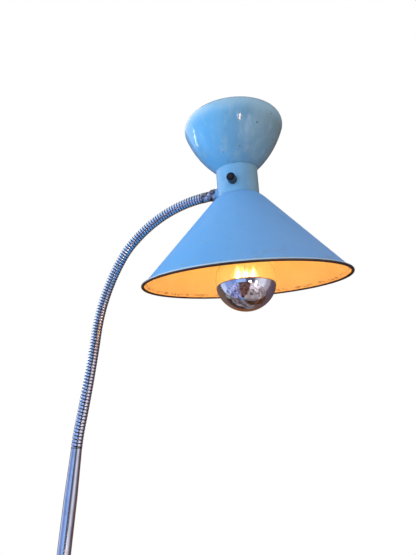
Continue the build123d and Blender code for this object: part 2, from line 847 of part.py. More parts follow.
small_globe = head.offset(small_tip + small_bulb_length - small_globe_radius)
small_cap_drop = small_bulb_length - small_globe_radius - small_cap_length
with BuildPart() as small_bulb_glass:
    with BuildSketch(section(small_globe)):
        with BuildLine():
            small_join = math.radians(small_glass_turn_angle)
            top = (0, small_globe_radius)
            side_point = (small_globe_radius, 0)
            join_point = (
                small_globe_radius * math.cos(small_join),
                small_globe_radius * math.sin(small_join),
            )
            ball = ThreePointArc(top, side_point, join_point)
            throat = Spline(ball @ 1, (small_cap_radius, -small_cap_drop), tangents=(ball % 1, (0, -1)))
            Polyline(throat @ 1, (0, -small_cap_drop), top)
        make_face()
    revolve(axis=spin(small_globe))
save(small_bulb_glass, "small_bulb_glass")
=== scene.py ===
import json
import math

import bmesh
import bpy
from mathutils import Matrix, Vector


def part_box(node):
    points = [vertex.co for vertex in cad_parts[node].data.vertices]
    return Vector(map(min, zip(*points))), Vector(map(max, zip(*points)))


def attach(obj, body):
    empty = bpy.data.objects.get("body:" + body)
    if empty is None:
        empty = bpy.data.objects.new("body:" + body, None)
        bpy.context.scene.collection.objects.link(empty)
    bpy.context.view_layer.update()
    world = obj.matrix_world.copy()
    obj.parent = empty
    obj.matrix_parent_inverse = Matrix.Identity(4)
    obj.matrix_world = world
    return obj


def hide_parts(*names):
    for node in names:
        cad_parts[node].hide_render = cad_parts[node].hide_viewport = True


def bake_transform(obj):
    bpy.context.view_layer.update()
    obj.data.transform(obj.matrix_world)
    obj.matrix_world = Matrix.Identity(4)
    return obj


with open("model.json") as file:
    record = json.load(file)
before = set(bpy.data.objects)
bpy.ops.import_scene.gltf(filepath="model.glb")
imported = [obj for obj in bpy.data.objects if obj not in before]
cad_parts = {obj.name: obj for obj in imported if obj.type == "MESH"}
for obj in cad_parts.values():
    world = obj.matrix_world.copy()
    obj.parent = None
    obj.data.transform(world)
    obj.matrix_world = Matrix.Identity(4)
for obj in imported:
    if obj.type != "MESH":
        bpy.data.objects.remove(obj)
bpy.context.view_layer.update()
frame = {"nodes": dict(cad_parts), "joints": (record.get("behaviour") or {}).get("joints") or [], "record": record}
joints = {joint["name"]: joint for joint in frame["joints"]}

MM = 0.001  # outlines are written in millimetres, and Blender's objects are in metres


# ---------------------------------------------------------------- places
def towards(azimuth):
    """Level direction at an azimuth in degrees."""
    a = math.radians(azimuth)
    return Vector((math.cos(a), math.sin(a), 0))


def placed(origin, across, along):
    """Matrix at an origin in metres, with Z along one direction and X towards another."""
    z = Vector(along).normalized()
    y = z.cross(Vector(across)).normalized()
    x = y.cross(z)
    return Matrix.Translation(origin) @ Matrix((x, y, z)).transposed().to_4x4()


# Gooseneck: tangent arcs from the pole upwards, each with its length in mm and its turn in degrees
NECK_ARCS = ((27.0, 6.8), (122.0, -4.4), (120.0, 29.6), (21.0, 13.0), (131.5, 48.0))
NECK_LENGTH = sum(length for length, turn in NECK_ARCS)
NECK_JOINTS = sum(name.startswith("neck_") for name in joints)
LINK_LENGTH = NECK_LENGTH / NECK_JOINTS
NECK_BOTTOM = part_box("joint_ring")[1].z / MM


def neck_place(distance):
    """Matrix on the gooseneck at a distance in mm from the pole: Z along the tube, X away from the pole."""
    x, z, lean = 0.0, NECK_BOTTOM, 0.0
    for length, turn in NECK_ARCS:
        step = min(max(distance, 0.0), length)
        bend = math.radians(turn) * step / length
        chord = step * math.sin(bend / 2) / (bend / 2) if bend else step
        x += chord * math.sin(lean + bend / 2)
        z += chord * math.cos(lean + bend / 2)
        lean += bend
        distance -= step
    across, along = (math.cos(lean), 0, -math.sin(lean)), (math.sin(lean), 0, math.cos(lean))
    return placed((x * MM, 0, z * MM), across, along)


HEAD_ROLL = 14.15  # turn of the head about the end of the gooseneck
head_turn = joints["head_turn"]
neck_axis = Vector(head_turn["axis"])
head_up = Matrix.Rotation(math.radians(HEAD_ROLL), 3, neck_axis) @ Vector((-neck_axis.z, 0, neck_axis.x))
HEAD = placed(head_turn["pos_m"], neck_axis, head_up)
NECK_END = neck_place(NECK_LENGTH)
POLE_FOOT = Matrix.Identity(4)  # the frame's own origin, under the base on the pole's axis

# Push switch: its own direction round the collar, and its height above the gooseneck's axis
SWITCH_AZIMUTH = -81.0
SWITCH_ABOVE_NECK = 3.1
switch_out = HEAD.to_3x3() @ towards(SWITCH_AZIMUTH)
SWITCH = placed(HEAD @ Vector((0, 0, SWITCH_ABOVE_NECK * MM)), HEAD.to_3x3().col[2], switch_out)


# ---------------------------------------------------------------- outlines, as (radius, height) in mm
def rounded(corners, steps=5):
    """Outline through corners of (radius, height, fillet), each fillet drawn as an arc."""
    points = []
    for i, (r, h, fillet) in enumerate(corners):
        here = Vector((r, h))
        if not fillet:
            points.append(tuple(here))
            continue
        before = Vector(corners[i - 1][:2]) - here
        after = Vector(corners[(i + 1) % len(corners)][:2]) - here
        half = before.angle(after) / 2
        reach = min(fillet / math.tan(half), before.length * 0.49, after.length * 0.49)
        radius = reach * math.tan(half)
        middle = (before.normalized() + after.normalized()).normalized()
        centre = here + middle * (radius / math.sin(half))
        start = here + before.normalized() * reach - centre
        sweep = start.angle_signed(here + after.normalized() * reach - centre)
        for step in range(steps + 1):
            points.append(tuple(centre + Matrix.Rotation(-sweep * step / steps, 2) @ start))
    return points


def arc(centre, radius, start, end, steps):
    """Points on an arc between two angles in degrees."""
    angles = [math.radians(start + (end - start) * i / steps) for i in range(steps + 1)]
    return [(centre[0] + radius * math.cos(a), centre[1] + radius * math.sin(a)) for a in angles]


def circle_through(a, b, c):
    """Centre and radius of the circle through three points."""
    ax, ay = a[0] - c[0], a[1] - c[1]
    bx, by = b[0] - c[0], b[1] - c[1]
    turn = 2 * (ax * by - ay * bx)
    x = (by * (ax * ax + ay * ay) - ay * (bx * bx + by * by)) / turn
    y = (ax * (bx * bx + by * by) - bx * (ax * ax + ay * ay)) / turn
    return (c[0] + x, c[1] + y), math.hypot(x, y)


def angle_of(point, centre):
    return math.degrees(math.atan2(point[1] - centre[1], point[0] - centre[0]))


def tangent_arc(start, direction, end, steps):
    """Points on the arc that leaves start in a direction and reaches end."""
    start, end, direction = Vector(start), Vector(end), Vector(direction).normalized()
    chord = end - start
    side = Vector((-direction.y, direction.x))
    radius = chord.length_squared / (2 * chord.dot(side))
    centre = start + side * radius
    sweep = 2 * direction.angle_signed(chord)
    turns = [Matrix.Rotation(-sweep * i / steps, 2) for i in range(steps + 1)]
    return [tuple(centre + turn @ (start - centre)) for turn in turns]


def inset(points, amount):
    """The same open line, moved to its left by an amount."""
    moved = []
    for i, point in enumerate(points):
        ahead = Vector(points[min(i + 1, len(points) - 1)]) - Vector(points[max(i - 1, 0)])
        left = Vector((-ahead.y, ahead.x)).normalized()
        moved.append((point[0] + left.x * amount, point[1] + left.y * amount))
    return moved


# ---------------------------------------------------------------- meshes
SHARP = math.radians(38)
ON_AXIS = 1e-4  # a radius below this, in mm, is a point on the axis


def in_scene(name, data):
    """New object of a mesh, a light or a camera."""
    obj = bpy.data.objects.new(name, data)
    bpy.context.scene.collection.objects.link(obj)
    return obj


def piece(name, mesh, place, body, materials, replaced=()):
    """New object at a place, which rides on a body and stands for CAD nodes."""
    for material in materials:
        mesh.materials.append(material)
    obj = in_scene(name, mesh)
    obj.matrix_world = place
    if body:
        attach(obj, body)
    if replaced:
        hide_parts(*replaced)
    return obj


def round_turns(count):
    """Angles of a full turn in equal steps."""
    return [2 * math.pi * i / count for i in range(count)]


def skin(work, low, high, numbers):
    """Faces between two rings of vertices, each with its material's number. A ring may be one point."""
    for i, number in enumerate(numbers):
        j = (i + 1) % len(numbers)
        corners = list(dict.fromkeys((low[i], low[j], high[j], high[i])))
        if len(corners) > 2:
            work.faces.new(corners).material_index = number


def settled(work, mesh, sharp=SHARP):
    """The mesh with the worked faces turned outwards, smooth up to an angle between them."""
    bmesh.ops.recalc_face_normals(work, faces=work.faces)
    work.to_mesh(mesh)
    work.free()
    mesh.shade_smooth()
    mesh.set_sharp_from_angle(angle=sharp)
    return mesh


def revolved(outline, segments=96, closed=True, zone=None):
    """Mesh of an outline in mm turned round Z.

    Zone gives the material's number from a face's radius and height.
    """
    work = bmesh.new()
    columns = []
    for radius, height in outline:
        if radius < ON_AXIS:
            columns.append([work.verts.new((0, 0, height * MM))] * segments)
            continue
        reach = radius * MM
        points = [(reach * math.cos(a), reach * math.sin(a), height * MM) for a in round_turns(segments)]
        columns.append([work.verts.new(point) for point in points])
    for row in range(len(columns) if closed else len(columns) - 1):
        after = (row + 1) % len(columns)
        (r1, h1), (r2, h2) = outline[row], outline[after]
        number = zone((r1 + r2) / 2, (h1 + h2) / 2) if zone else 0
        skin(work, columns[row], columns[after], [number] * segments)
    return settled(work, bpy.data.meshes.new("turned"))


def turned(name, outline, place, body, slot, materials, replaced=(), **shape):
    """Turned piece: see revolved and piece."""
    return piece(name, revolved(outline, **shape), place, body, materials, replaced)


# ---------------------------------------------------------------- materials
def srgb(red, green, blue):
    """Linear colour from the 0 to 255 values of a screen."""
    parts = [value / 255 for value in (red, green, blue)]
    return tuple(v / 12.92 if v <= 0.04045 else ((v + 0.055) / 1.055) ** 2.4 for v in parts) + (1.0,)


def feed(tree, socket, value):
    """Link a node's socket to another, or give it a constant."""
    if isinstance(value, bpy.types.NodeSocket):
        tree.links.new(value, socket)
    else:
        socket.default_value = value


def put(tree, kind, settings=None, inputs=None):
    """New node with its settings and inputs."""
    node = tree.nodes.new(kind)
    for key, value in (settings or {}).items():
        setattr(node, key, value)
    for key, value in (inputs or {}).items():
        feed(tree, node.inputs[key], value)
    return node


class Finish:
    """A material's node graph, with the few steps that these finishes are made of."""

    def __init__(self, name, colour, roughness, **sockets):
        self.material = bpy.data.materials.new(name)
        self.material.use_nodes = True
        self.tree = self.material.node_tree
        self.shader = self.tree.nodes["Principled BSDF"]
        self.shader.inputs["Base Color"].default_value = colour
        self.shader.inputs["Roughness"].default_value = roughness
        for socket, value in sockets.items():
            self.shader.inputs[socket.replace("_", " ")].default_value = value
        self.coordinates = self.put("ShaderNodeTexCoord").outputs["Object"]
        self.normal = None

    def put(self, kind, settings=None, inputs=None):
        return put(self.tree, kind, settings, inputs)

    def stretched(self, scale):
        """Object coordinates in metres, multiplied along each axis."""
        return self.put("ShaderNodeMapping", None, {"Vector": self.coordinates, "Scale": scale}).outputs[0]

    def noise(self, scale, detail=3.0, roughness=0.5, vector=None, distortion=0.0):
        inputs = {"Vector": vector or self.coordinates, "Scale": scale, "Detail": detail}
        inputs.update({"Roughness": roughness, "Distortion": distortion})
        return self.put("ShaderNodeTexNoise", None, inputs).outputs["Fac"]

    def span(self, value, low, high, start=0.0, end=1.0, smooth=True):
        """Value carried from the range low to high into start to end."""
        kind = {"interpolation_type": "SMOOTHSTEP" if smooth else "LINEAR"}
        inputs = {"Value": value, "From Min": low, "From Max": high, "To Min": start, "To Max": end}
        return self.put("ShaderNodeMapRange", kind, inputs).outputs[0]

    def sums(self, operation, a, b=0.0, c=0.0):
        return self.put("ShaderNodeMath", {"operation": operation}, {0: a, 1: b, 2: c}).outputs[0]

    def blend(self, factor, a, b, kind="MIX"):
        settings = {"data_type": "RGBA", "blend_type": kind}
        return self.put("ShaderNodeMix", settings, {0: factor, 6: a, 7: b}).outputs[2]

    def axis(self, name, vector=None):
        split = self.put("ShaderNodeSeparateXYZ", None, {0: vector or self.coordinates})
        return split.outputs[name]

    def along(self, azimuth):
        """Distance from the piece's own axis towards an azimuth, in metres."""
        return self.vector("DOT_PRODUCT", towards(azimuth))["Value"]

    def distance(self, point):
        return self.vector("DISTANCE", point)["Value"]

    def vector(self, operation, other):
        """Outputs of an operation on the coordinates and another vector."""
        inputs = {0: self.coordinates, 1: other}
        return self.put("ShaderNodeVectorMath", {"operation": operation}, inputs).outputs

    def specks(self, scale, size):
        """1 inside small scattered dots, 0 outside."""
        dots = self.put("ShaderNodeTexVoronoi", None, {"Vector": self.coordinates, "Scale": scale})
        return self.span(dots.outputs["Distance"], size, size * 0.6)

    def spots(self, places, ragged=0.0006):
        """1 inside named round chips of (point in metres, radius in metres), with ragged edges."""
        wobble = self.span(self.noise(900.0), 0.0, 1.0, -ragged, ragged, smooth=False)
        total = 0.0
        for point, radius in places:
            reach = self.sums("ADD", self.distance(point), wobble)
            total = self.sums("MAXIMUM", total, self.span(reach, radius, radius * 0.6))
        return total

    def bump(self, height, strength, distance):
        inputs = {"Height": height, "Strength": strength, "Distance": distance}
        if self.normal:
            inputs["Normal"] = self.normal
        self.normal = self.put("ShaderNodeBump", None, inputs).outputs[0]
        self.set("Normal", self.normal)

    def set(self, socket, value):
        feed(self.tree, self.shader.inputs[socket], value)


PAINTED_SHADE_SIDE = 21.0  # azimuth on the head that lies to the right of the picture, towards which the paint is painted greyer as shade
CHIP, GRIME, BARE = srgb(70, 62, 52), srgb(74, 98, 112), srgb(132, 132, 134)
BLEACHED, CHALK = srgb(150, 192, 218), srgb(150, 182, 198)


def paint(
    name, left, right, roughness, coat, gloss, width,
    centre=None, chips=(), streaks=0.0, painted_highlight=None, wear=None,
):
    """Old enamel, mottled, with pin-holes and orange peel, that changes from its left to its right colour: that
    change is painted shade, greyer towards one side.

    Width is where the change of colour starts and ends. Centre is the place of the paint's own axis.
    The painted highlight is (height, height, colour): its colour is full at the first height and gone at the
    second.
    Wear is a pair of heights: the paint is scuffed at the first and whole at the second.
    """
    coat_roughness = 0.05 if coat > 0.1 else 0.3
    sockets = {"Coat_Weight": coat, "Coat_Roughness": coat_roughness, "Specular_IOR_Level": gloss}
    finish = Finish(name, left, roughness, **sockets)
    if centre:
        finish.coordinates = finish.vector("SUBTRACT", centre)[0]
    # painted shade: the colour turns from the lit left colour to the greyer right colour
    side = finish.span(finish.along(PAINTED_SHADE_SIDE), width[0], width[1])
    colour = finish.blend(side, left, right)
    # painted highlight: a lighter colour towards one height
    if painted_highlight:
        colour = finish.blend(finish.span(finish.axis("Z"), painted_highlight[0], painted_highlight[1], 0.8, 0.0), colour, painted_highlight[2])
    cloud = finish.span(finish.noise(22.0, 4.0, 0.6), 0.35, 0.7)
    colour = finish.blend(finish.sums("MULTIPLY", cloud, 0.10), colour, BLEACHED)
    grime = finish.span(finish.noise(60.0, 6.0, 0.7, distortion=0.6), 0.55, 0.78)
    colour = finish.blend(finish.sums("MULTIPLY", grime, 0.18), colour, GRIME)
    if streaks:
        runs = finish.span(finish.noise(9.0, 4.0, 0.6, vector=finish.stretched((9.0, 9.0, 0.7))), 0.48, 0.72)
        colour = finish.blend(finish.sums("MULTIPLY", runs, streaks), colour, CHALK)
    if wear:
        band = finish.span(finish.axis("Z"), wear[0], wear[1], 1.0, 0.0)
        rubs = finish.noise(45.0, 6.0, 0.75, vector=finish.stretched((1.0, 1.0, 3.0)))
        rubs = finish.sums("MULTIPLY", band, finish.span(rubs, 0.5, 0.66))
        colour = finish.blend(finish.sums("MULTIPLY", rubs, 0.55), colour, BARE)
    holes = finish.sums("MULTIPLY", finish.specks(60.0, 0.045), finish.span(finish.noise(14.0), 0.5, 0.6))
    if chips:
        holes = finish.sums("MAXIMUM", holes, finish.spots(chips))
    finish.set("Base Color", finish.blend(finish.sums("MULTIPLY", holes, 0.85), colour, CHIP))
    worn = finish.span(finish.noise(35.0, 5.0, 0.6), 0.3, 0.8, roughness * 0.8, roughness * 1.35)
    finish.set("Roughness", worn)
    finish.bump(finish.noise(330.0, 2.0), 0.05, 0.0004)
    finish.bump(holes, -0.5, 0.0002)
    return finish.material


def metal(name, colour, dark, roughness, patches=0.35, scratches=0.05, scale=60.0, worn_from=0.45):
    """Worn plating: darker cloudy patches, pits, and fine scratches along the axis."""
    finish = Finish(name, colour, roughness, Metallic=1.0)
    cloud = finish.span(finish.noise(scale, 5.0, 0.65, distortion=0.4), worn_from, worn_from + 0.3)
    pits = finish.specks(scale * 12, 0.12)
    tone = finish.blend(finish.sums("MULTIPLY", cloud, patches), colour, dark)
    finish.set("Base Color", finish.blend(finish.sums("MULTIPLY", pits, 0.5), tone, dark))
    lines = finish.noise(220.0, 3.0, 0.6, vector=finish.stretched((1.0, 1.0, 0.06)))
    finish.set("Roughness", finish.span(cloud, 0.0, 1.0, roughness, roughness * 2.2))
    finish.bump(lines, scratches, 0.0003)
    return finish.material


def plastic(name, colour, roughness, dust):
    """Moulded plastic with a fine grain and a little dust."""
    finish = Finish(name, colour, roughness, Coat_Weight=0.3, Coat_Roughness=0.08)
    film = finish.span(finish.noise(90.0, 5.0, 0.6), 0.45, 0.8)
    finish.set("Base Color", finish.blend(finish.sums("MULTIPLY", film, 0.12), colour, dust))
    finish.set("Roughness", finish.span(film, 0.0, 1.0, roughness, roughness * 1.8))
    finish.bump(finish.noise(1400.0, 2.0), 0.06, 0.0002)
    return finish.material


def ceramic_body(name, colour):
    finish = Finish(name, colour, 0.45)
    speckle = finish.span(finish.noise(700.0, 3.0), 0.55, 0.75)
    speckled = finish.blend(finish.sums("MULTIPLY", speckle, 0.2), colour, srgb(160, 150, 135))
    finish.set("Base Color", speckled)
    finish.bump(finish.noise(500.0, 3.0), 0.1, 0.0002)
    return finish.material


def felt(name):
    finish = Finish(name, srgb(62, 66, 62), 0.95, Sheen_Weight=0.4, Sheen_Roughness=0.5)
    fibre = finish.noise(1500.0, 4.0, 0.7, distortion=1.5)
    finish.set("Base Color", finish.blend(fibre, srgb(44, 48, 45), srgb(86, 90, 84)))
    finish.bump(fibre, 0.6, 0.0006)
    return finish.material


BULB_CENTRE = (0.0, 0.0, -126.3)  # middle of the globe in the head's own frame, in mm


def lit_inside(name, paint_colour, rim_height):
    """Cream paint inside the lower shade, lit warm by the bulb: yellower and brighter close to it."""
    finish = Finish(name, paint_colour, 0.6, Specular_IOR_Level=0.2)
    reach = finish.distance([c * MM for c in BULB_CENTRE])
    near = finish.span(reach, 0.05, 0.135, 1.0, 0.0)
    cloud = finish.span(finish.noise(30.0, 4.0, 0.6), 0.35, 0.75)
    wave = finish.span(finish.noise(45.0, 4.0, 0.7), 0.0, 1.0, -0.002, 0.002, smooth=False)
    ragged = finish.sums("ADD", finish.axis("Z"), wave)
    band_in = finish.span(ragged, rim_height + 0.0030, rim_height + 0.0042)
    band_out = finish.span(ragged, rim_height + 0.0058, rim_height + 0.0072, 1.0, 0.0)
    scuff = finish.sums("MULTIPLY", band_in, band_out)
    scuff = finish.sums("MULTIPLY", scuff, finish.span(finish.noise(160.0, 4.0, 0.7), 0.42, 0.62))
    marks = finish.sums("MAXIMUM", scuff, finish.specks(50.0, 0.04))
    dirt = finish.sums("MULTIPLY", marks, 0.6)
    base = finish.blend(cloud, paint_colour, srgb(168, 118, 66))
    finish.set("Base Color", finish.blend(dirt, base, srgb(90, 60, 36)))
    glow = finish.blend(near, srgb(238, 160, 72), srgb(252, 190, 62))
    glow = finish.blend(finish.sums("MULTIPLY", cloud, 0.12), glow, srgb(226, 138, 66))
    finish.set("Emission Color", finish.blend(dirt, glow, srgb(110, 62, 26)))
    finish.set("Emission Strength", finish.span(near, 0.0, 1.0, 0.86, 1.0))
    finish.bump(finish.noise(330.0, 2.0), 0.05, 0.0004)
    return finish.material


def clear_glass(name):
    """Clear blown glass: a fine bloom spreads the filaments' light, and it glows faintly level with them."""
    finish = Finish(name, (1.0, 0.97, 0.9, 1.0), 0.0, Transmission_Weight=1.0, IOR=1.35)
    bloom = finish.span(finish.noise(2600.0, 2.0, 0.6), 0.42, 0.60)
    finish.set("Roughness", finish.span(bloom, 0.0, 1.0, 0.0, 0.42))
    level = finish.sums("ABSOLUTE", finish.sums("SUBTRACT", finish.axis("Z"), 0.008))
    finish.set("Emission Color", srgb(255, 232, 0))
    finish.set("Emission Strength", finish.span(level, 0.0, 0.03, 0.045, 0.012))
    finish.bump(finish.noise(35.0, 2.0), 0.02, 0.001)
    return finish.material


def glowing(name, hot, cool, strength, low, high):
    """White-hot filament, yellower at its ends."""
    finish = Finish(name, cool, 0.6)
    height = finish.axis("Z")
    ends = finish.span(height, low, high)
    flicker = finish.span(finish.noise(260.0, 3.0), 0.3, 0.7, 0.7, 1.0)
    finish.set("Emission Color", finish.blend(ends, hot, cool))
    finish.set("Emission Strength", finish.sums("MULTIPLY", flicker, strength))
    return finish.material


def mirror(name):
    """Silvering behind glass, with a little haze and tarnish."""
    silver, tarnish = srgb(214, 212, 218), srgb(150, 146, 166)
    finish = Finish(name, silver, 0.03, Metallic=1.0, Coat_Weight=0.5, Coat_Roughness=0.02)
    haze = finish.span(finish.noise(55.0, 5.0, 0.7, distortion=0.8), 0.45, 0.75)
    finish.set("Base Color", finish.blend(finish.sums("MULTIPLY", haze, 0.35), silver, tarnish))
    finish.set("Roughness", finish.span(haze, 0.0, 1.0, 0.02, 0.09))
    finish.bump(finish.noise(40.0, 2.0), 0.03, 0.001)
    return finish.material


def opal(name):
    white = srgb(240, 238, 230)
    finish = Finish(name, white, 0.25, Subsurface_Weight=0.2, Transmission_Weight=0.1)
    cloud = finish.span(finish.noise(40.0, 3.0), 0.4, 0.7)
    finish.set("Base Color", finish.blend(cloud, white, srgb(230, 226, 214)))
    finish.bump(finish.noise(300.0, 2.0), 0.03, 0.0002)
    return finish.material


def chip_at(outline, azimuth, height, radius):
    """Place of a chip on a turned surface, from its azimuth, its height in mm and its radius in mm."""
    near = min(outline, key=lambda point: abs(point[1] - height))
    out = towards(azimuth) * near[0] * MM
    return (out.x, out.y, height * MM), radius * MM


# ---------------------------------------------------------------- head, in mm from the gooseneck's axis
SHEET = 1.2
HOLE = 5.1
COLLAR_RADIUS, COLLAR_BOTTOM = 28.1, -11.5
CONE_RIM_RADIUS, CONE_RIM, CONE_BEAD = 135.0, -130.5, 1.9
CONE_SHOULDER_RADIUS, CONE_SHOULDER = 38.2, -20.5
BOWL_SEAT, BOWL_SEAT_RADIUS = 22.0, 22.5
BOWL_FOOT, BOWL_BELLY, BOWL_TURN, BOWL_LIP = (26.1, 26.0), (49.9, 50.8), (66.7, 82.2), (54.3, 101.0)
BOWL_BEAD = 1.3

# Cone: outer line from the bead up to the hole, then back down the inside
bead_centre = (CONE_RIM_RADIUS - CONE_BEAD, CONE_RIM + CONE_BEAD)
cone_side = Vector((CONE_SHOULDER_RADIUS - bead_centre[0], CONE_SHOULDER - bead_centre[1]))
shoulder = tangent_arc((CONE_SHOULDER_RADIUS, CONE_SHOULDER), cone_side, (COLLAR_RADIUS, COLLAR_BOTTOM), 8)
CONE_STEPS = 24
RIM_HIGHLIGHT_HEIGHT = 3.4  # height of the pale line above the rim, a painted highlight
rim_highlight_end = (RIM_HIGHLIGHT_HEIGHT - CONE_BEAD) / cone_side.y
straight = [tuple(Vector(bead_centre) + cone_side * share) for share in (rim_highlight_end, rim_highlight_end + 0.012)]
straight += [tuple(Vector(bead_centre) + cone_side * (i / CONE_STEPS)) for i in range(1, CONE_STEPS)]
cone_outer = straight + shoulder + [(HOLE, COLLAR_BOTTOM)]
cone_inner = inset(straight + shoulder, SHEET) + [(HOLE, COLLAR_BOTTOM - SHEET)]
cone_bead = arc(bead_centre, CONE_BEAD, -225, 45, 16)
cone_outline = cone_bead + cone_outer + cone_inner[::-1]

# Bowl: foot, belly and turn on one arc, and a tangent arc in to the lip
belly_centre, belly_radius = circle_through(BOWL_FOOT, BOWL_BELLY, BOWL_TURN)
belly_start, belly_end = angle_of(BOWL_FOOT, belly_centre), angle_of(BOWL_TURN, belly_centre)
belly = arc(belly_centre, belly_radius, belly_start, belly_end, 28)
belly_tangent = Vector(belly[-1]) - Vector(belly[-2])
turn_in = tangent_arc(BOWL_TURN, belly_tangent, BOWL_LIP, 16)
bowl_outer = [(HOLE, BOWL_SEAT), (BOWL_SEAT_RADIUS, BOWL_SEAT)] + belly + turn_in[1:]
bowl_inner = inset(bowl_outer, SHEET)
bowl_bead = arc(BOWL_LIP, BOWL_BEAD, 20, 290, 12)
bowl_outline = bowl_outer[:-1] + bowl_bead + bowl_inner[-2::-1]

# ---------------------------------------------------------------- finishes
BOWL_CHIPS = (  # azimuth, height and radius of each chip
    (-37.9, 66.2, 1.5), (1.4, 57.2, 1.1), (-18.8, 80.9, 1.0), (-60.1, 41.8, 1.0), (-91, 38.6, 1.0),
    (-89.9, 46.2, 0.9), (-87.5, 28.7, 1.0), (-26.1, 38.9, 0.9), (-150, 88, 0.9), (-138, 92, 0.8),
    (35, 74, 1.1), (96, 60, 1.3), (150, 45, 1.0),
)
bowl_chips = [chip_at(bowl_outer, *chip) for chip in BOWL_CHIPS]
# the bowl's lip is painted lighter, as a painted highlight
bowl_paint = paint(
    "bowl_paint", srgb(82, 165, 226), srgb(114, 140, 150), 0.16, 0.6, 0.4, (-0.055, 0.070),
    chips=bowl_chips, streaks=0.4, painted_highlight=(0.101, 0.074, srgb(172, 210, 240)),
)
bowl_inside = paint(
    "bowl_inside_paint", srgb(214, 214, 204), srgb(206, 204, 192), 0.35, 0.1, 0.5, (-0.06, 0.06),
)
cone_paint = paint(
    "cone_paint", srgb(90, 162, 228), srgb(120, 164, 222), 0.45, 0.08, 0.02, (-0.11, 0.11),
    wear=(-0.131, -0.108),
)
collar_paint = paint(
    "collar_paint", srgb(98, 160, 212), srgb(118, 142, 148), 0.3, 0.15, 0.3, (-0.002, 0.034),
    centre=HEAD.translation[:], streaks=0.2,
)
base_paint = paint(
    "base_paint", srgb(98, 162, 226), srgb(104, 152, 208), 0.34, 0.15, 0.3, (-0.12, 0.12),
    wear=(0.002, 0.012),
)
# the cone's rim bead is coloured dark brown
dark_rim = metal("dark_rim", srgb(96, 80, 74), srgb(50, 38, 34), 0.45, 0.5)
# painted highlight: the pale line where the rim's bead catches the light
painted_rim_highlight = plastic("painted_rim_highlight", srgb(168, 196, 220), 0.35, srgb(120, 110, 104))
cone_inside = lit_inside("cone_inside_paint", srgb(186, 134, 78), CONE_RIM * MM)
chrome = metal("chrome", srgb(206, 208, 214), srgb(120, 118, 124), 0.07, 0.3)
worn_chrome = metal(
    "worn_chrome", srgb(224, 224, 230), srgb(46, 34, 30), 0.14, 1.0, 0.14, 190.0, worn_from=0.36,
)
neck_chrome = metal("neck_chrome", srgb(220, 224, 232), srgb(110, 104, 108), 0.1, 0.25, 0.03)
# the grooves between the windings are coloured dark
dark_groove = metal("dark_groove", srgb(70, 70, 84), srgb(34, 28, 30), 0.35, 0.6)
dark_steel = metal("dark_steel", srgb(70, 62, 58), srgb(30, 26, 24), 0.4)
steel = metal("steel", srgb(172, 172, 172), srgb(120, 118, 112), 0.3)
brass = metal("brass", srgb(214, 182, 110), srgb(150, 118, 62), 0.22)
black_plastic = plastic("black_plastic", srgb(14, 14, 18), 0.12, srgb(90, 96, 110))
holder_plastic = plastic("holder_plastic", srgb(38, 32, 28), 0.25, srgb(120, 104, 90))
rubber = plastic("rubber", srgb(26, 26, 26), 0.6, srgb(96, 92, 88))
ceramic = ceramic_body("ceramic", srgb(232, 228, 216))
pad_felt = felt("felt")
glass = clear_glass("bulb_glass")
silvered = mirror("silvered_glass")
opal_glass = opal("opal_glass")
filament = glowing("filament", srgb(255, 248, 226), srgb(255, 214, 96), 34.0, 0.006, 0.026)
# orange line at the silver's edge: copper, and a painted reflection of the shade's orange inside
copper_and_reflection_edge = metal("copper_and_reflection_edge", srgb(214, 132, 66), srgb(120, 62, 34), 0.3, 0.4)

NODE_FINISH = {
    "felt": pad_felt,
    "base_paint": base_paint,
    "rubber": rubber,
    "chrome": chrome,
    "neck_chrome": neck_chrome,
    "dark_steel": dark_steel,
    "steel": steel,
    "collar_paint": collar_paint,
    "cone_paint": cone_paint,
    "bowl_paint": bowl_paint,
    "black_plastic": black_plastic,
    "brass": brass,
    "holder_plastic": holder_plastic,
    "ceramic": ceramic,
    "bulb_glass": glass,
    "silvered_glass": silvered,
    "opal_glass": opal_glass,
    "filament": filament,
}
for subpart in frame["record"]["subparts"]:
    node = frame["nodes"][subpart["node"]]
    node.data.materials.clear()
    node.data.materials.append(NODE_FINISH[subpart["material_slot"]])


# ---------------------------------------------------------------- gooseneck
RIB_PITCH = 4.15
RIB_CREST = 6.93
RIB_DEPTH = 0.6
STRIP_CROWN = 0.07
RIB_STEPS = 14
GROOVE = 0.30  # share of the pitch that is groove, coloured dark
NECK_SEGMENTS = 48
NECK_SHARP = math.radians(70)
rings_per_link = round(LINK_LENGTH / RIB_PITCH * RIB_STEPS)
BLEND_SHARE = 0.46  # share of a link on each side of a joint


def rib_phase(distance, turn):
    """Place across one winding, from 0 to 1: the groove comes first, and climbs one pitch for each turn."""
    return (distance / RIB_PITCH + turn / (2 * math.pi)) % 1.0


def rib_radius(distance, turn):
    """Radius of the wound tube: a slightly rounded strip and a narrow groove."""
    phase = rib_phase(distance, turn)
    if phase < GROOVE:
        return RIB_CREST - RIB_DEPTH * math.sin(math.pi * phase / GROOVE) ** 2
    return RIB_CREST + STRIP_CROWN * math.sin(math.pi * (phase - GROOVE) / (1 - GROOVE))


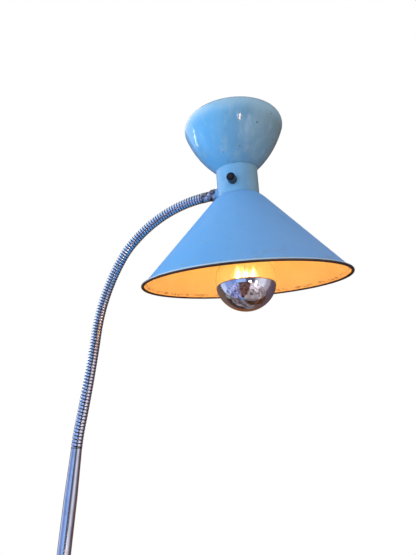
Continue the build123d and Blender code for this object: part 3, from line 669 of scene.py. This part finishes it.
def ribbed_tube(start, end):
    """Closed stretch of the wound tube between two distances from the pole, its grooves in material 1."""
    work = bmesh.new()
    rings = []
    turns = round_turns(NECK_SEGMENTS)
    for step in range(rings_per_link + 1):
        distance = start + (end - start) * step / rings_per_link
        place = neck_place(distance)
        ring = []
        for turn in turns:
            radius = rib_radius(distance, turn) * MM
            point = Vector((radius * math.cos(turn), radius * math.sin(turn), 0))
            ring.append(work.verts.new(place @ point))
        rings.append(ring)
    for step, (low, high) in enumerate(zip(rings, rings[1:])):
        middle = start + (end - start) * (step + 0.5) / rings_per_link
        skin(work, low, high, [1 if rib_phase(middle, turn) < GROOVE else 0 for turn in turns])
    work.faces.new(rings[0][::-1])
    work.faces.new(rings[-1])
    return settled(work, bpy.data.meshes.new("ribbed"), NECK_SHARP)


for number in range(1, NECK_JOINTS + 1):
    replaced = ["neck_root" if number == 1 else f"neck_link_{number - 1:02d}"]
    if number == NECK_JOINTS:
        replaced.append("neck_tip")
    mesh = ribbed_tube((number - 1) * LINK_LENGTH, number * LINK_LENGTH)
    name = f"gooseneck_{number:02d}"
    tube = piece(name, mesh, POLE_FOOT, None, [neck_chrome, dark_groove], replaced)
    joint_at = (number - 0.5) * LINK_LENGTH
    reach = BLEND_SHARE * LINK_LENGTH
    start, end = neck_place(joint_at - reach).translation, neck_place(joint_at + reach).translation
    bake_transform(tube)

# ---------------------------------------------------------------- ferrule and nut at the head
ferrule_outline = rounded(
    [
        (HOLE, 0, 0),
        (7.1, 0, 0.4),
        (7.25, 1.2, 0.3),
        (6.95, 1.7, 0.2),
        (6.95, 2.6, 0.2),
        (7.2, 3.1, 0.3),
        (7.0, 8.0, 2.0),
        (7.1, 12.2, 0.3),
        (7.25, 12.8, 0.3),
        (7.25, 14.0, 0.3),
        (HOLE, 14.0, 0),
    ]
)
turned(
    "ferrule", ferrule_outline, NECK_END, "neck_end", "chrome", [worn_chrome], ["neck_ferrule"], segments=64,
)

NUT_START, NUT_LENGTH, NUT_FLATS, NUT_CHAMFER = 14.0, 9.3, 15.0, 1.2
NUT_SEGMENTS, NUT_SHARP = 96, math.radians(20)


def hexagon_nut(across_flats, length, bore, chamfer):
    """Nut with the round chamfers of a turned blank: each ring is the smaller of hexagon and cone."""
    flat = across_flats / 2
    corner = flat / math.cos(math.pi / 6)
    heights = [0.0, chamfer * 0.33, chamfer * 0.66, chamfer]
    limits = [flat, flat + (corner - flat) * 0.4, flat + (corner - flat) * 0.75, corner]
    rows = list(zip(heights, limits))
    rows += [(length - height, limit) for height, limit in rows[::-1]]
    work = bmesh.new()
    rings = []
    for height, limit in [(0.0, bore)] + rows + [(length, bore)]:
        ring = []
        for a in round_turns(NUT_SEGMENTS):
            hexagon = flat / math.cos((a + math.pi / 6) % (math.pi / 3) - math.pi / 6)
            radius = min(hexagon, limit) * MM
            ring.append(work.verts.new((radius * math.cos(a), radius * math.sin(a), height * MM)))
        rings.append(ring)
    for low, high in zip(rings, rings[1:] + rings[:1]):
        skin(work, low, high, [0] * NUT_SEGMENTS)
    return settled(work, bpy.data.meshes.new("nut"), NUT_SHARP)


nut_place = NECK_END @ Matrix.Translation((0, 0, NUT_START * MM))
nut_mesh = hexagon_nut(NUT_FLATS, NUT_LENGTH, HOLE, NUT_CHAMFER)
piece("head_nut_turned", nut_mesh, nut_place, "neck_end", [worn_chrome], ["head_nut"])


# ---------------------------------------------------------------- shades
def nearest(line, radius, height):
    """Distance from a point to the nearest run of a line."""
    here = Vector((radius, height))
    best = math.inf
    for a, b in zip(line, line[1:]):
        start, run = Vector(a), Vector(b) - Vector(a)
        share = min(max((here - start).dot(run) / run.length_squared, 0.0), 1.0)
        best = min(best, (here - start - run * share).length)
    return best


def cone_zone(radius, height):
    """0 outside, 1 inside, 2 on the dark bead, 3 on the pale line above it, a painted highlight."""
    outside = nearest(cone_outer, radius, height) < nearest(cone_inner, radius, height)
    if height < CONE_RIM + CONE_BEAD * 1.15 and radius > bead_centre[0] - CONE_BEAD * 1.1:
        return 2
    if outside and height < CONE_RIM + RIM_HIGHLIGHT_HEIGHT + 0.8:
        return 3
    return 1 if nearest(cone_inner, radius, height) < nearest(cone_outer, radius, height) else 0


cone_materials = [cone_paint, cone_inside, dark_rim, painted_rim_highlight]
turned(
    "lower_shade", cone_outline, HEAD, "head", "cone_paint", cone_materials, ["shade_cone"],
    segments=192, zone=cone_zone,
)


def bowl_zone(radius, height):
    """0 outside, 1 inside."""
    return 1 if nearest(bowl_inner, radius, height) < nearest(bowl_outer, radius, height) else 0


turned(
    "upper_shade", bowl_outline, HEAD, "head", "bowl_paint", [bowl_paint, bowl_inside], ["shade_bowl"],
    segments=160, zone=bowl_zone,
)

# ---------------------------------------------------------------- push switch
sleeve_outline = rounded(
    [
        (4.5, 28.2, 0),
        (6.05, 28.2, 0.3),
        (6.05, 31.4, 0.3),
        (5.7, 31.5, 0.1),
        (5.7, 39.4, 0.7),
        (4.5, 39.4, 0.3),
    ]
)
turned(
    "switch_collar", sleeve_outline, SWITCH, "head", "black_plastic", [black_plastic], ["switch_sleeve"],
    segments=64,
)

plunger_outline = rounded([(0, 12, 0), (3.0, 12, 0.2), (3.0, 40.9, 0.7), (1.2, 40.7, 0.3), (0, 40.6, 0)])
turned(
    "switch_button", plunger_outline, SWITCH, "button", "black_plastic", [black_plastic], ["switch_plunger"],
    segments=48, closed=False,
)

# ---------------------------------------------------------------- bulb
GLOBE_RADIUS = 40.0
GLASS_WALL = 0.9
SILVER_BELOW_CENTRE = 10.0
SILVER_TILT, SILVER_HIGH_SIDE = 10.0, -69.0
COPPER_REFLECTION_WIDTH = 1.3  # orange line above the silver: bare copper, and a painted reflection of the shade's lit inside
SILVER_PROUD, COPPER_LIP = 0.06, 0.05  # thickness of the silver on the glass, and the step at its edge

# The edge of the silver isn't square to the bulb
silver_lean = Matrix.Rotation(-math.radians(SILVER_TILT), 4, towards(SILVER_HIGH_SIDE + 90))
GLOBE = HEAD @ Matrix.Translation([c * MM for c in BULB_CENTRE])
CROWN = GLOBE @ silver_lean


def crown_angle(below):
    """Angle on the globe, in degrees, of a line round the crown at a distance below the globe's middle."""
    return -math.degrees(math.asin(below / GLOBE_RADIUS))


silver_end, copper_reflection_end = crown_angle(SILVER_BELOW_CENTRE), crown_angle(SILVER_BELOW_CENTRE - COPPER_REFLECTION_WIDTH)
crown_outer = arc((0, 0), GLOBE_RADIUS + SILVER_PROUD, -90, silver_end, 40)
copper_reflection_line = arc((0, 0), GLOBE_RADIUS + SILVER_PROUD, silver_end, copper_reflection_end, 3)
crown_edge = (copper_reflection_line[-1][0] - COPPER_LIP, copper_reflection_line[-1][1])
crown_inner = arc((0, 0), GLOBE_RADIUS - GLASS_WALL, silver_end, -90, 40)


def crown_zone(radius, height):
    """0 for the silver, 1 for the orange line at its edge: copper, and a painted reflection of the lit shade."""
    return 1 if height > -SILVER_BELOW_CENTRE and radius > GLOBE_RADIUS - GLASS_WALL else 0


crown_outline = crown_outer + copper_reflection_line[1:] + [crown_edge] + crown_inner
turned(
    "silvered_crown", crown_outline, CROWN, "head", "silvered_glass", [silvered, copper_and_reflection_edge], ["bulb_crown"],
    segments=128, closed=False, zone=crown_zone,
)

NECK_JOIN = 62.0  # angle on the globe at which the glass turns up to the bulb's neck
NECK_PULL = 6.0  # how strongly the curve keeps the directions of the globe and of the neck
BULB_NECK_RADIUS = 12.3
CAP_EDGE = -71.0  # lower edge of the bulb's cap in the head's own frame
GLASS_TOP = CAP_EDGE - BULB_CENTRE[2]
GLASS_START = -40.0


def glass_side(radius, neck_radius):
    """Globe from below the silver edge up, and a smooth curve in to the neck."""
    globe = arc((0, 0), radius, GLASS_START, NECK_JOIN, 44)
    a = math.radians(NECK_JOIN)
    leave = Vector((-math.sin(a), math.cos(a)))
    p0, p3 = Vector(globe[-1]), Vector((neck_radius, GLASS_TOP))
    p1, p2 = p0 + leave * NECK_PULL, p3 - Vector((0, NECK_PULL))
    curve = []
    for i in range(1, 13):
        t = i / 12
        point = p0 * (1 - t) ** 3 + p1 * 3 * t * (1 - t) ** 2 + p2 * 3 * t * t * (1 - t) + p3 * t**3
        curve.append(tuple(point))
    return globe + curve


def keep_above(mesh, point, up):
    """Cut a double-walled mesh by a plane, keep what lies above it and close the wall there."""
    work = bmesh.new()
    work.from_mesh(mesh)
    everything = work.verts[:] + work.edges[:] + work.faces[:]
    cut = bmesh.ops.bisect_plane(work, geom=everything, plane_co=point, plane_no=up, clear_inner=True)
    rims = [edge for edge in cut["geom_cut"] if isinstance(edge, bmesh.types.BMEdge)]
    bmesh.ops.bridge_loops(work, edges=rims)
    settled(work, mesh)


FLAME_RING, FLAME_FOOT = 11.5, -6.0
FLAME_RADIUS, FLAME_TIP = 1.5, 0.1
FLAME_HEIGHTS = (22.0, 17.0, 24.0, 19.0, 25.0, 18.0)
for number, height in enumerate(FLAME_HEIGHTS):
    foot = towards(360 * number / len(FLAME_HEIGHTS)) * FLAME_RING + Vector((0, 0, FLAME_FOOT))
    rows = [(FLAME_RADIUS * (1 - share**1.6) + FLAME_TIP, height * share) for share in (0.0, 0.3, 0.55, 0.8)]
    shape = [(0.0, 0.0)] + rows + [(0.0, height)]
    replaced = [] if number else ["bulb_filaments"]
    place = GLOBE @ Matrix.Translation(foot * MM)
    turned(
        f"filament_{number + 1}", shape, place, "head", "filament", [filament], replaced,
        segments=16, closed=False,
    )

glass_outline = glass_side(GLOBE_RADIUS, BULB_NECK_RADIUS)
glass_outline += glass_side(GLOBE_RADIUS - GLASS_WALL, BULB_NECK_RADIUS - GLASS_WALL)[::-1]
glass_mesh = revolved(glass_outline, segments=128)
silver_up = silver_lean.to_3x3() @ Vector((0, 0, 1))
keep_above(glass_mesh, silver_up * -SILVER_BELOW_CENTRE * MM, silver_up)
piece("globe_glass", glass_mesh, GLOBE, "head", [glass], ["bulb_glass"])

# ---------------------------------------------------------------- pole
POLE_RADIUS, POLE_NECK_RADIUS, POLE_WALL = 8.0, 6.75, 1.2
POLE_TOP, POLE_TAPER = 1079.2, 55.0
BASE_RADIUS, BASE_BOTTOM, BASE_RIM, BASE_TOP = 128.0, 2.0, 16.0, 27.0
HUB_RADIUS, RECESS_RADIUS, RECESS_TOP = 24.0, 58.0, 18.0
pole_outline = rounded(
    [
        (POLE_RADIUS - POLE_WALL, BASE_TOP, 0),
        (POLE_RADIUS, BASE_TOP, 0),
        (POLE_RADIUS, POLE_TOP - POLE_TAPER, 300),
        (POLE_NECK_RADIUS, POLE_TOP, 0.4),
        (POLE_NECK_RADIUS - POLE_WALL, POLE_TOP, 0),
        (POLE_RADIUS - POLE_WALL, POLE_TOP - POLE_TAPER, 0),
    ],
    steps=10,
)
turned("pole", pole_outline, POLE_FOOT, "base", "chrome", [chrome], ["pole_tube"], segments=96)

# ---------------------------------------------------------------- base
rim_corners = [
    (RECESS_RADIUS, BASE_BOTTOM, 0),
    (BASE_RADIUS, BASE_BOTTOM, 1.2),
    (BASE_RADIUS, BASE_RIM, 5.0),
    (HUB_RADIUS, BASE_TOP, 0),
]
DOME_EDGE, DOME_MIDDLE, DOME_START = (122.0, 16.5), (74.0, 23.6), (121.0, 16.65)
hub_edge = (HUB_RADIUS, BASE_TOP)
dome_centre, dome_radius = circle_through(DOME_EDGE, DOME_MIDDLE, hub_edge)
dome_angles = angle_of(DOME_START, dome_centre), angle_of(hub_edge, dome_centre)
base_outline = [(HOLE, RECESS_TOP), (RECESS_RADIUS, RECESS_TOP), (RECESS_RADIUS, BASE_BOTTOM)]
base_outline += rounded(rim_corners, steps=8)[1:-1]
base_outline += arc(dome_centre, dome_radius, *dome_angles, 24)
base_outline += [(HOLE, BASE_TOP)]
turned(
    "base_cover", base_outline, POLE_FOOT, "base", "base_paint", [base_paint], ["base_casting"], segments=160,
)

# ---------------------------------------------------------------- stage, lights and camera
ROOM_RADIUS = 2600  # in mm, like all of the room
FLOOR_TOP, FLOOR_BOTTOM = -0.2, -6


def floor_paper():
    """Pale paper that runs out to white far from the lamp."""
    white = srgb(250, 250, 250)
    finish = Finish("floor_paper", white, 0.8, Specular_IOR_Level=0.0)
    paper = finish.span(finish.noise(120.0, 4.0), 0.3, 0.7)
    finish.set("Base Color", finish.blend(paper, white, srgb(244, 244, 244)))
    ray = finish.put("ShaderNodeLightPath").outputs["Is Camera Ray"]
    far = finish.span(finish.distance((0, 0, 0)), 0.9, 2.4)
    finish.set("Emission Color", (1, 1, 1, 1))
    finish.set("Emission Strength", finish.sums("MULTIPLY", ray, finish.sums("MULTIPLY", far, 0.6)))
    return finish.material


floor_edge = [(ROOM_RADIUS, FLOOR_TOP), (ROOM_RADIUS, FLOOR_BOTTOM)]
stage_disc = revolved([(0, FLOOR_TOP), *floor_edge, (0, FLOOR_BOTTOM)])
stage_disc.materials.append(floor_paper())
in_scene("floor", stage_disc)

WORLD_LIGHT = 0.55
world = bpy.data.worlds.new("studio")
world.use_nodes = True
bpy.context.scene.world = world
tree = world.node_tree
background = tree.nodes["Background"]
rays = put(tree, "ShaderNodeLightPath").outputs
seen = rays["Is Camera Ray"]
for kind in ("Is Glossy Ray", "Is Transmission Ray"):
    seen = put(tree, "ShaderNodeMath", {"operation": "MAXIMUM"}, {0: seen, 1: rays[kind]}).outputs[0]
strength = put(tree, "ShaderNodeMapRange", None, {"Value": seen, "To Min": WORLD_LIGHT, "To Max": 1.0})
feed(tree, background.inputs["Strength"], strength.outputs[0])
feed(tree, background.inputs["Color"], (1, 1, 1, 1))


def softbox(name, place, target, width, height, power, colour):
    """Area light for all but the reflections: polished surfaces show the sheets below instead."""
    light = bpy.data.lights.new(name, "AREA")
    light.shape = "RECTANGLE"
    light.size, light.size_y = width, height
    light.energy = power
    light.color = colour[:3]
    obj = in_scene(name, light)
    obj.location = place
    obj.rotation_euler = (Vector(target) - Vector(place)).to_track_quat("-Z", "Y").to_euler()
    obj.visible_glossy = False


head_at = HEAD.translation
softbox("key", head_at + Vector((-1.7, -1.5, -0.1)), head_at, 1.2, 1.2, 34, srgb(238, 246, 255))
softbox("fill", head_at + Vector((1.4, -1.7, 0.2)), head_at, 0.9, 1.4, 14, srgb(255, 250, 242))
softbox("back", head_at + Vector((0.3, 1.9, 1.4)), head_at, 1.4, 1.0, 14, srgb(255, 255, 255))

# Sheets round the lamp that only polished surfaces see: a wall, two rings of floor, and a few bright panes.
# A stop is an azimuth in degrees and a colour.
WALL = (
    (-180, (120, 110, 110)), (-174, (188, 204, 240)), (-156, (188, 204, 240)), (-148, (131, 154, 208)),
    (-128, (131, 154, 208)), (-118, (118, 139, 194)), (-104, (120, 145, 200)), (-98, (145, 180, 238)),
    (-66, (148, 176, 224)), (-61, (81, 85, 112)), (-34, (89, 86, 103)), (-27, (154, 151, 162)),
    (-12, (206, 208, 220)), (8, (206, 208, 220)), (14, (159, 157, 170)), (30, (150, 140, 145)),
    (36, (94, 80, 93)), (80, (81, 66, 73)), (100, (110, 76, 52)), (118, (120, 74, 40)),
    (124, (110, 85, 70)), (172, (96, 80, 76)),
)
FAR_FLOOR = (
    (-180, (160, 165, 176)), (-164, (150, 158, 190)), (-158, (150, 162, 212)), (-110, (160, 168, 214)),
    (-98, (150, 160, 206)), (-90, (96, 76, 80)), (-44, (100, 72, 66)), (-38, (206, 196, 206)),
    (-4, (216, 206, 212)), (4, (144, 132, 132)), (42, (136, 126, 128)), (48, (84, 54, 36)),
    (74, (80, 50, 32)), (84, (116, 104, 108)), (104, (112, 100, 104)), (112, (66, 50, 48)),
    (164, (66, 52, 52)), (172, (133, 144, 146)),
)
NEAR_FLOOR = (
    (-180, (124, 118, 128)), (-164, (120, 118, 140)), (-156, (118, 124, 170)), (-112, (120, 126, 172)),
    (-96, (110, 100, 120)), (-84, (92, 66, 62)), (-44, (94, 66, 60)), (-34, (150, 138, 142)),
    (0, (140, 130, 132)), (44, (130, 120, 124)), (52, (84, 58, 46)), (76, (86, 62, 52)),
    (90, (130, 122, 126)), (150, (110, 100, 104)),
)
UPPER_WALL = (
    (-180, (240, 244, 250)), (-150, (228, 238, 250)), (-112, (198, 224, 244)), (-104, (104, 124, 162)),
    (-70, (78, 84, 112)), (-56, (70, 72, 92)), (-34, (80, 80, 96)), (-20, (150, 150, 164)),
    (10, (150, 150, 164)), (40, (90, 78, 84)), (84, (78, 64, 66)), (140, (92, 80, 78)),
    (154, (120, 112, 116)), (162, (232, 238, 250)),
)
CEILING = (
    (-180, (226, 234, 248)), (-140, (206, 218, 244)), (-118, (90, 94, 108)), (60, (84, 84, 92)),
    (110, (96, 88, 88)), (136, (150, 150, 158)), (152, (236, 240, 250)),
)
SEEN_IN_CHROME = 0.64  # share of a colour that the plating reflects
ROOM_BLOCKS = 4.5  # blocks of light and dark to a metre of the room
WALL_FOOT, WALL_TOP, ROOM_HEIGHT = 10, 1700, 3300
CEILING_MIDDLE_RADIUS, NEAR_FLOOR_START, NEAR_FLOOR_END = 700, 140, 1250
CEILING_MIDDLE = ((-180, (92, 96, 108)), (180, (92, 96, 108)))


def only_reflected(name, mesh, colour_from, strength):
    """Stage object that only polished surfaces show: it neither lights, shades nor hides anything else."""
    glow = bpy.data.materials.new(name)
    glow.use_nodes = True
    tree = glow.node_tree
    tree.nodes.clear()
    lamp = put(tree, "ShaderNodeEmission", None, {"Strength": strength})
    colour_from(tree, lamp.inputs["Color"])
    put(tree, "ShaderNodeOutputMaterial", None, {"Surface": lamp.outputs[0]})
    mesh.materials.append(glow)
    sheet = in_scene(name, mesh)
    sheet.visible_camera = sheet.visible_diffuse = False
    sheet.visible_shadow = sheet.visible_transmission = False
    return sheet


def stops(table, clutter):
    """Colours round the compass, from a table of stops, in blocks lighter and darker by up to the clutter."""

    def build(tree, socket):
        place = put(tree, "ShaderNodeTexCoord").outputs["Object"]
        compass = put(tree, "ShaderNodeTexGradient", {"gradient_type": "RADIAL"}, {"Vector": place})
        ramp = put(tree, "ShaderNodeValToRGB", None, {"Fac": compass.outputs["Fac"]})
        elements = ramp.color_ramp.elements
        elements.remove(elements[1])
        for i, (azimuth, colour) in enumerate(table):
            share = (azimuth + 180) / 360
            stop = elements.new(share) if i else elements[0]
            stop.position, stop.color = share, srgb(*colour)
        blocks = {"Vector": place, "Scale": ROOM_BLOCKS}
        block = put(tree, "ShaderNodeTexVoronoi", {"distance": "CHEBYCHEV"}, blocks).outputs["Color"]
        spread = {"Value": block, "To Min": 1 - clutter, "To Max": 1 + clutter}
        shade = put(tree, "ShaderNodeMapRange", None, spread).outputs[0]
        scaled = {0: ramp.outputs[0], "Scale": shade}
        shaded = put(tree, "ShaderNodeVectorMath", {"operation": "SCALE"}, scaled)
        feed(tree, socket, shaded.outputs[0])

    return build


def plain(colour):
    """One even colour."""

    def build(tree, socket):
        feed(tree, socket, srgb(*colour))

    return build


wall_foot, wall_top = (ROOM_RADIUS, WALL_FOOT), (ROOM_RADIUS, WALL_TOP)
ceiling_edge, ceiling_ring = (ROOM_RADIUS, ROOM_HEIGHT), (CEILING_MIDDLE_RADIUS, ROOM_HEIGHT)
floor_ring = (NEAR_FLOOR_END, WALL_FOOT)
for name, near, far, table, clutter in (
    ("room_wall", wall_foot, wall_top, WALL, 0.15),
    ("room_upper_wall", wall_top, ceiling_edge, UPPER_WALL, 0.15),
    ("room_ceiling_middle", (0, ROOM_HEIGHT), ceiling_ring, CEILING_MIDDLE, 0.3),
    ("room_ceiling", ceiling_ring, ceiling_edge, CEILING, 0.2),
    ("room_far_floor", floor_ring, wall_foot, FAR_FLOOR, 0.9),
    ("room_near_floor", (NEAR_FLOOR_START, WALL_FOOT), floor_ring, NEAR_FLOOR, 0.8),
):
    only_reflected(name, revolved([near, far], closed=False), stops(table, clutter), 1 / SEEN_IN_CHROME)


def pane(name, centre, width, height, colour, strength):
    """Bright upright pane at a point in metres, facing the head."""
    mesh = bpy.data.meshes.new(name)
    corners = [(x * width / 2, y * height / 2, 0) for x, y in ((-1, -1), (1, -1), (1, 1), (-1, 1))]
    mesh.from_pydata(corners, [], [(0, 1, 2, 3)])
    sheet = only_reflected(name, mesh, plain(colour), strength)
    sheet.location = centre
    sheet.rotation_euler = (head_at - Vector(centre)).to_track_quat("Z", "Y").to_euler()


pane("lamp_glint", (1.17, -1.07, 0.60), 0.11, 0.19, (255, 208, 166), 24)
pane("lamp_glint_2", (1.06, -1.20, 0.60), 0.06, 0.10, (190, 214, 255), 16)
pane("window_edge", (-1.40, -0.02, 1.50), 0.56, 0.05, (236, 244, 255), 16)
pane("window_on_floor", (1.55, -0.62, 0.50), 0.26, 0.62, (250, 244, 250), 2.4)

CAMERA_PLACE = (0.40942, -0.43481, 1.0594)
CAMERA_FORWARD = (-0.45415, 0.89092, 0.0)
CAMERA_PITCH = 24.27  # degrees upwards
FOCAL_PIXELS, PICTURE_HEIGHT = 417.0, 555
camera_data = bpy.data.cameras.new("camera")
camera_data.sensor_width = 36.0
camera_data.lens = camera_data.sensor_width * FOCAL_PIXELS / PICTURE_HEIGHT
camera_data.clip_start = 0.01
camera = in_scene("camera", camera_data)
forward = Vector(CAMERA_FORWARD) * math.cos(math.radians(CAMERA_PITCH))
forward.z = math.sin(math.radians(CAMERA_PITCH))
turn = forward.to_track_quat("-Z", "Y").to_matrix().to_4x4()
camera.matrix_world = Matrix.Translation(CAMERA_PLACE) @ turn
bpy.context.scene.camera = camera
bpy.context.scene.view_settings.view_transform = "Standard"

bpy.context.view_layer.update()
